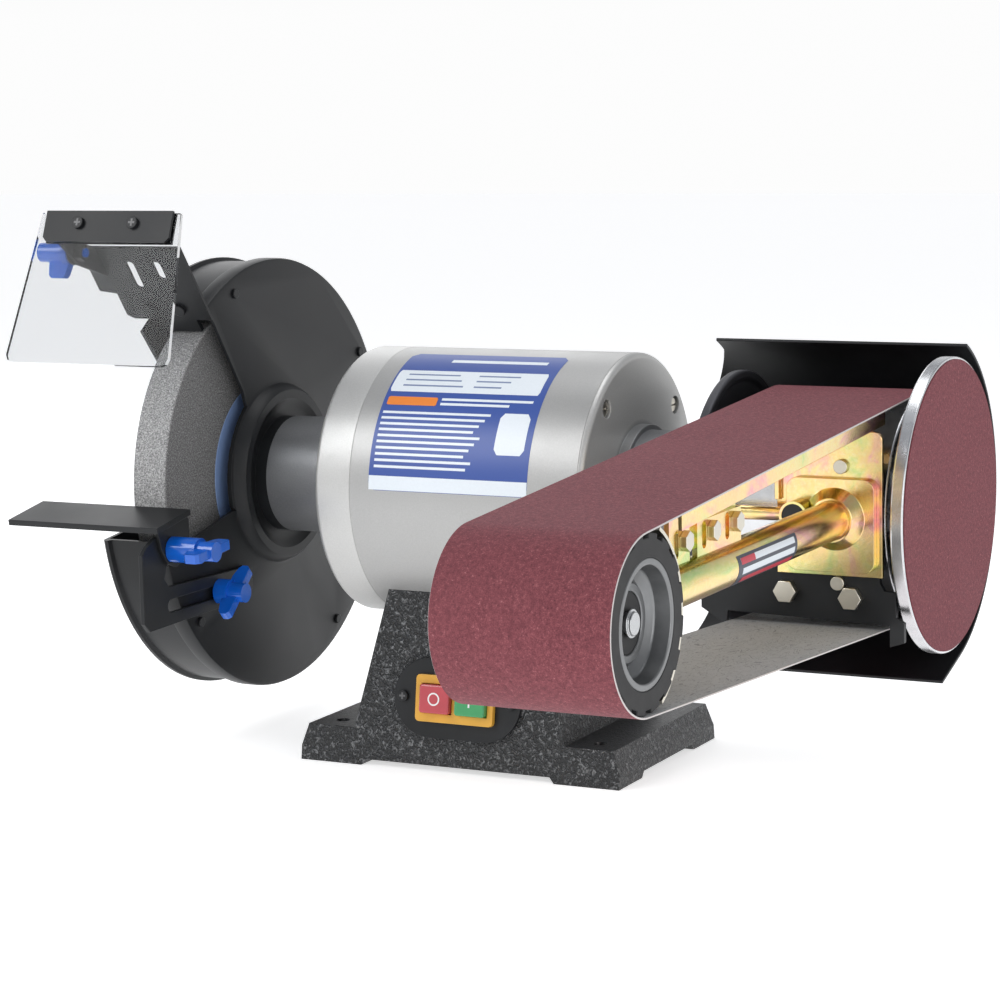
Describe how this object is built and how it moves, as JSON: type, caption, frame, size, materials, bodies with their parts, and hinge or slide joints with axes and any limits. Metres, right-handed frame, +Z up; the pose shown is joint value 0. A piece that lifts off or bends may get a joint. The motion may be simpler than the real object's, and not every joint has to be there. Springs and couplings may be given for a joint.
{
  "type": "bench grinder with belt and disc attachment",
  "caption": "Bench grinder with a guarded grinding wheel, eye shield and tool rest at one end and a tilting belt and disc sander at the other",
  "frame": {"origin": "middle of the base's bolt pattern, on the bench", "axes": "+X along the spindle from the grinding wheel to the sanding disc, +Y back from the operator, +Z up"},
  "size_m": [0.5975, 0.6188, 0.372],
  "materials": {
    "black_enamel": "coarse textured black enamel on cast iron",
    "black_paint": "satin black powder coat on sheet steel",
    "silver_paint": "fine textured silver-grey enamel",
    "cast_bell": "silver-grey enamel on a die casting, darker on the neck",
    "turned_aluminium": "turned, bright",
    "yellow_zinc": "yellow zinc passivate, iridescent",
    "bright_zinc": "bright zinc plate",
    "ground_steel": "ground steel",
    "lamination": "stacked electrical steel, varnished",
    "copper": "enamelled copper wire",
    "iron_hub": "cast iron, machined and blackened",
    "grey_stone": "vitrified grey aluminium oxide",
    "blotter": "printed blotting paper",
    "red_abrasive": "red-brown abrasive grain on cloth, grey cloth inside",
    "clear_panel": "clear polycarbonate",
    "blue_knob": "moulded blue plastic",
    "black_plastic": "moulded black plastic",
    "amber_plastic": "moulded amber plastic",
    "red_plastic": "moulded red plastic under a clear boot",
    "green_plastic": "moulded green plastic under a clear boot",
    "black_rubber": "moulded black rubber",
    "can_white": "moulded white plastic can"
  },
  "bodies": {
    "stand": {"base_casting": "black_enamel", "base_cover": "black_paint", "cable_gland": "black_plastic", "capacitor": "can_white", "motor_shell": "silver_paint", "left_end_bell": "cast_bell", "right_end_bell": "cast_bell", "stator_core": "lamination", "stator_windings": "copper", "through_bolts": "bright_zinc", "switch_plate": "black_paint", "switch_bezel": "amber_plastic", "switch_screws": "bright_zinc", "ball_bearings": "ground_steel", "guard_body": "black_paint", "guard_cover": "black_paint", "guard_screws": "bright_zinc", "shield_bracket": "black_paint", "mount_hub": "iron_hub"},
    "spindle": {"spindle_shaft": "ground_steel", "rotor": "lamination", "grinding_wheel": "grey_stone", "wheel_blotters": "blotter", "wheel_flanges": "ground_steel", "wheel_nut": "bright_zinc", "drive_wheel": "turned_aluminium", "disc_plate": "turned_aluminium", "abrasive_disc": "red_abrasive"},
    "shield": {"shield_panel": "clear_panel", "shield_strip": "black_paint", "shield_hanger": "black_paint", "shield_screws": "bright_zinc"},
    "shield_wing": {"shield_knob": "blue_knob"},
    "rest": {"rest_arm": "black_paint"},
    "slide_wing": {"rest_slide_knob": "blue_knob"},
    "table": {"rest_table": "black_paint"},
    "tilt_wing": {"rest_tilt_knob": "blue_knob"},
    "stop": {"stop_button": "red_plastic"},
    "start": {"start_button": "green_plastic"},
    "arm": {"arm_clamp": "iron_hub", "gusset_bracket": "black_paint", "frame_plate": "yellow_zinc", "frame_bolts": "bright_zinc", "tube_flange": "yellow_zinc", "arm_tube": "yellow_zinc", "platen": "yellow_zinc", "platen_bracket": "yellow_zinc", "platen_bolts": "bright_zinc", "hood": "black_paint", "sanding_belt": "red_abrasive"},
    "lever": {"tension_lever": "yellow_zinc", "lever_plug": "black_plastic", "lever_grip": "black_rubber"},
    "carriage": {"carriage_rod": "ground_steel", "idler_fender": "bright_zinc", "idler_axle": "ground_steel"},
    "idler": {"idler_hub": "turned_aluminium", "idler_tyre": "black_rubber", "idler_bearings": "ground_steel"}
  },
  "joints": [
    {"name": "spindle_spin", "type": "hinge", "parent": "stand", "child": "spindle", "pos_m": [0, 0, 0.182], "axis": [1, 0, 0], "continuous": true},
    {"name": "shield_tilt", "type": "hinge", "parent": "stand", "child": "shield", "pos_m": [-0.2405, -0.1395, 0.3432], "axis": [-1, 0, 0], "range_deg": [-10, 55]},
    {"name": "shield_knob_turn", "type": "hinge", "parent": "stand", "child": "shield_wing", "pos_m": [-0.255, -0.1395, 0.3432], "axis": [-1, 0, 0], "range_deg": [0, 180]},
    {"name": "rest_slide", "type": "slide", "parent": "stand", "child": "rest", "axis": [0, -1, 0], "range_m": [0, 0.0225]},
    {"name": "slide_knob_turn", "type": "hinge", "parent": "stand", "child": "slide_wing", "pos_m": [-0.16, -0.088, 0.113], "axis": [1, 0, 0], "range_deg": [0, 180]},
    {"name": "rest_tilt", "type": "hinge", "parent": "rest", "child": "table", "pos_m": [-0.168, -0.147, 0.151], "axis": [1, 0, 0], "range_deg": [0, 15]},
    {"name": "tilt_knob_turn", "type": "hinge", "parent": "rest", "child": "tilt_wing", "pos_m": [-0.15, -0.147, 0.151], "axis": [1, 0, 0], "range_deg": [0, 180]},
    {"name": "stop_press", "type": "slide", "parent": "stand", "child": "stop", "axis": [0, 0.9901, -0.1406], "range_m": [0, 0.0025], "stiffness_N_per_m": 400, "springref_m": -0.003},
    {"name": "start_press", "type": "slide", "parent": "stand", "child": "start", "axis": [0, 0.9901, -0.1406], "range_m": [0, 0.0025], "stiffness_N_per_m": 400, "springref_m": -0.003},
    {"name": "arm_tilt", "type": "hinge", "parent": "stand", "child": "arm", "pos_m": [0.182, 0, 0.182], "axis": [-1, 0, 0], "range_deg": [0, 90]},
    {"name": "tension_slide", "type": "slide", "parent": "arm", "child": "carriage", "axis": [0, 1, 0], "range_m": [0, 0.01], "stiffness_N_per_m": 2500, "springref_m": -0.03},
    {"name": "lever_turn", "type": "hinge", "parent": "arm", "child": "lever", "pos_m": [0.2453, -0.0936, 0.1866], "axis": [0, -1, 0], "range_deg": [0, 35]},
    {"name": "idler_spin", "type": "hinge", "parent": "carriage", "child": "idler", "pos_m": [0.2445, -0.42268, 0.182], "axis": [1, 0, 0], "continuous": true}
  ],
  "couplings": [
    {"joint": "idler_spin", "follows": "spindle_spin", "ratio": 1.5316},
    {"joint": "lever_turn", "follows": "tension_slide", "rad_per_m": 61}
  ]
}
